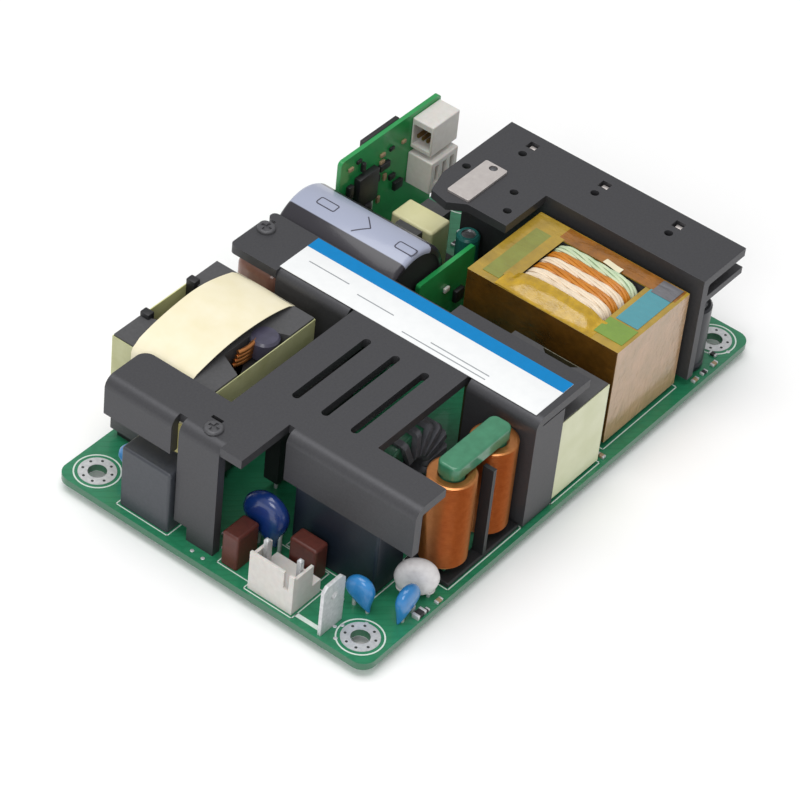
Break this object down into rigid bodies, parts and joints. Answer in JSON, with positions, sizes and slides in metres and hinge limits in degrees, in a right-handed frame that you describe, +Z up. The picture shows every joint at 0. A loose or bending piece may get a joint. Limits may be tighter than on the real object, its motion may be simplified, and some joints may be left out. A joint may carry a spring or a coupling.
{
  "type": "open-frame switching power supply",
  "caption": "Open-frame switching power supply: parts on a bare board under a folded and an extruded heatsink, with corner holes.",
  "frame": {"origin": "centre of the board in plan, at the level of the lead tips under the board", "axes": "+X from the mains edge to the output edge along the board's length, +Y towards the edge with the control board, +Z up from the board"},
  "size_m": [0.127, 0.0762, 0.034],
  "materials": {
    "board_green": "solder-masked glass-fibre laminate",
    "tinned": "tinned metal",
    "anodised": "dark anodised aluminium",
    "bright_steel": "bright plated steel",
    "clear_yellow_film": "yellowish insulating film",
    "label_white": "printed film label",
    "black_mould": "black moulded plastic",
    "ferrite": "dark ferrite",
    "copper": "enamelled copper",
    "cream_tape": "cream film tape",
    "amber_tape": "amber film tape",
    "yellow_tape": "pale yellow film tape",
    "teal_tape": "teal film tape",
    "green_tape": "green film tape",
    "white_wire": "white insulated stranded wire",
    "orange_wire": "orange insulated stranded wire",
    "can_sleeve": "lavender-grey sleeve",
    "box_grey": "dark grey moulded case",
    "box_blue_black": "blue-black moulded case",
    "box_brown": "brown moulded case",
    "dip_pink_brown": "pinkish-brown dipped case",
    "core_green": "green coated core",
    "grey_enamel": "grey insulated wire",
    "dip_blue": "dark blue epoxy dip",
    "dip_light_blue": "light blue epoxy dip",
    "dip_pale": "pale grey dip",
    "nylon_white": "white nylon",
    "can_black": "black sleeve"
  },
  "bodies": {
    "root": {"circuit_board": "board_green", "mounting_pads": "tinned", "primary_heatsink": "anodised", "heatsink_screws": "bright_steel", "insulation_sheet": "clear_yellow_film", "rating_label": "label_white", "output_heatsink": "anodised", "output_clamp_plate": "bright_steel", "switching_transistors": "black_mould", "output_rectifiers": "black_mould", "package_screws": "bright_steel", "bridge_rectifier": "black_mould", "boost_choke_core": "ferrite", "boost_choke_bobbin": "black_mould", "boost_choke_winding": "copper", "boost_choke_side_tape": "yellow_tape", "boost_choke_top_tape": "cream_tape", "transformer_core": "ferrite", "transformer_bobbin": "black_mould", "transformer_primary": "copper", "transformer_white_secondary": "white_wire", "transformer_orange_secondary": "orange_wire", "transformer_tape": "amber_tape", "transformer_teal_patch": "teal_tape", "transformer_green_patch": "green_tape", "resonant_choke_core": "ferrite", "resonant_choke_winding": "copper", "resonant_choke_tape": "cream_tape", "bulk_capacitor": "can_sleeve", "resonant_capacitor": "box_grey", "film_capacitor": "dip_pink_brown", "standby_transformer_core": "ferrite", "standby_transformer_tape": "cream_tape", "standby_transformer_bobbin": "black_mould", "control_board": "board_green", "control_chips": "black_mould", "sense_header": "nylon_white", "sense_header_contacts": "bright_steel", "fan_header": "nylon_white", "feedback_board": "board_green", "small_capacitor": "can_black", "line_choke_core": "core_green", "line_choke_coils": "copper", "line_choke_base": "black_mould", "ring_choke_core": "core_green", "ring_choke_winding": "grey_enamel", "left_x_capacitor": "box_grey", "front_x_capacitor": "box_blue_black", "varistor": "dip_blue", "thermistor": "dip_pale", "disc_capacitors": "dip_light_blue", "line_fuses": "box_brown", "mains_header": "nylon_white", "header_pins": "tinned", "earth_tab": "tinned", "output_header": "nylon_white", "output_capacitors": "can_black", "surface_mount_parts": "black_mould", "component_leads": "tinned", "solder_joints": "tinned"}
  },
  "joints": []
}
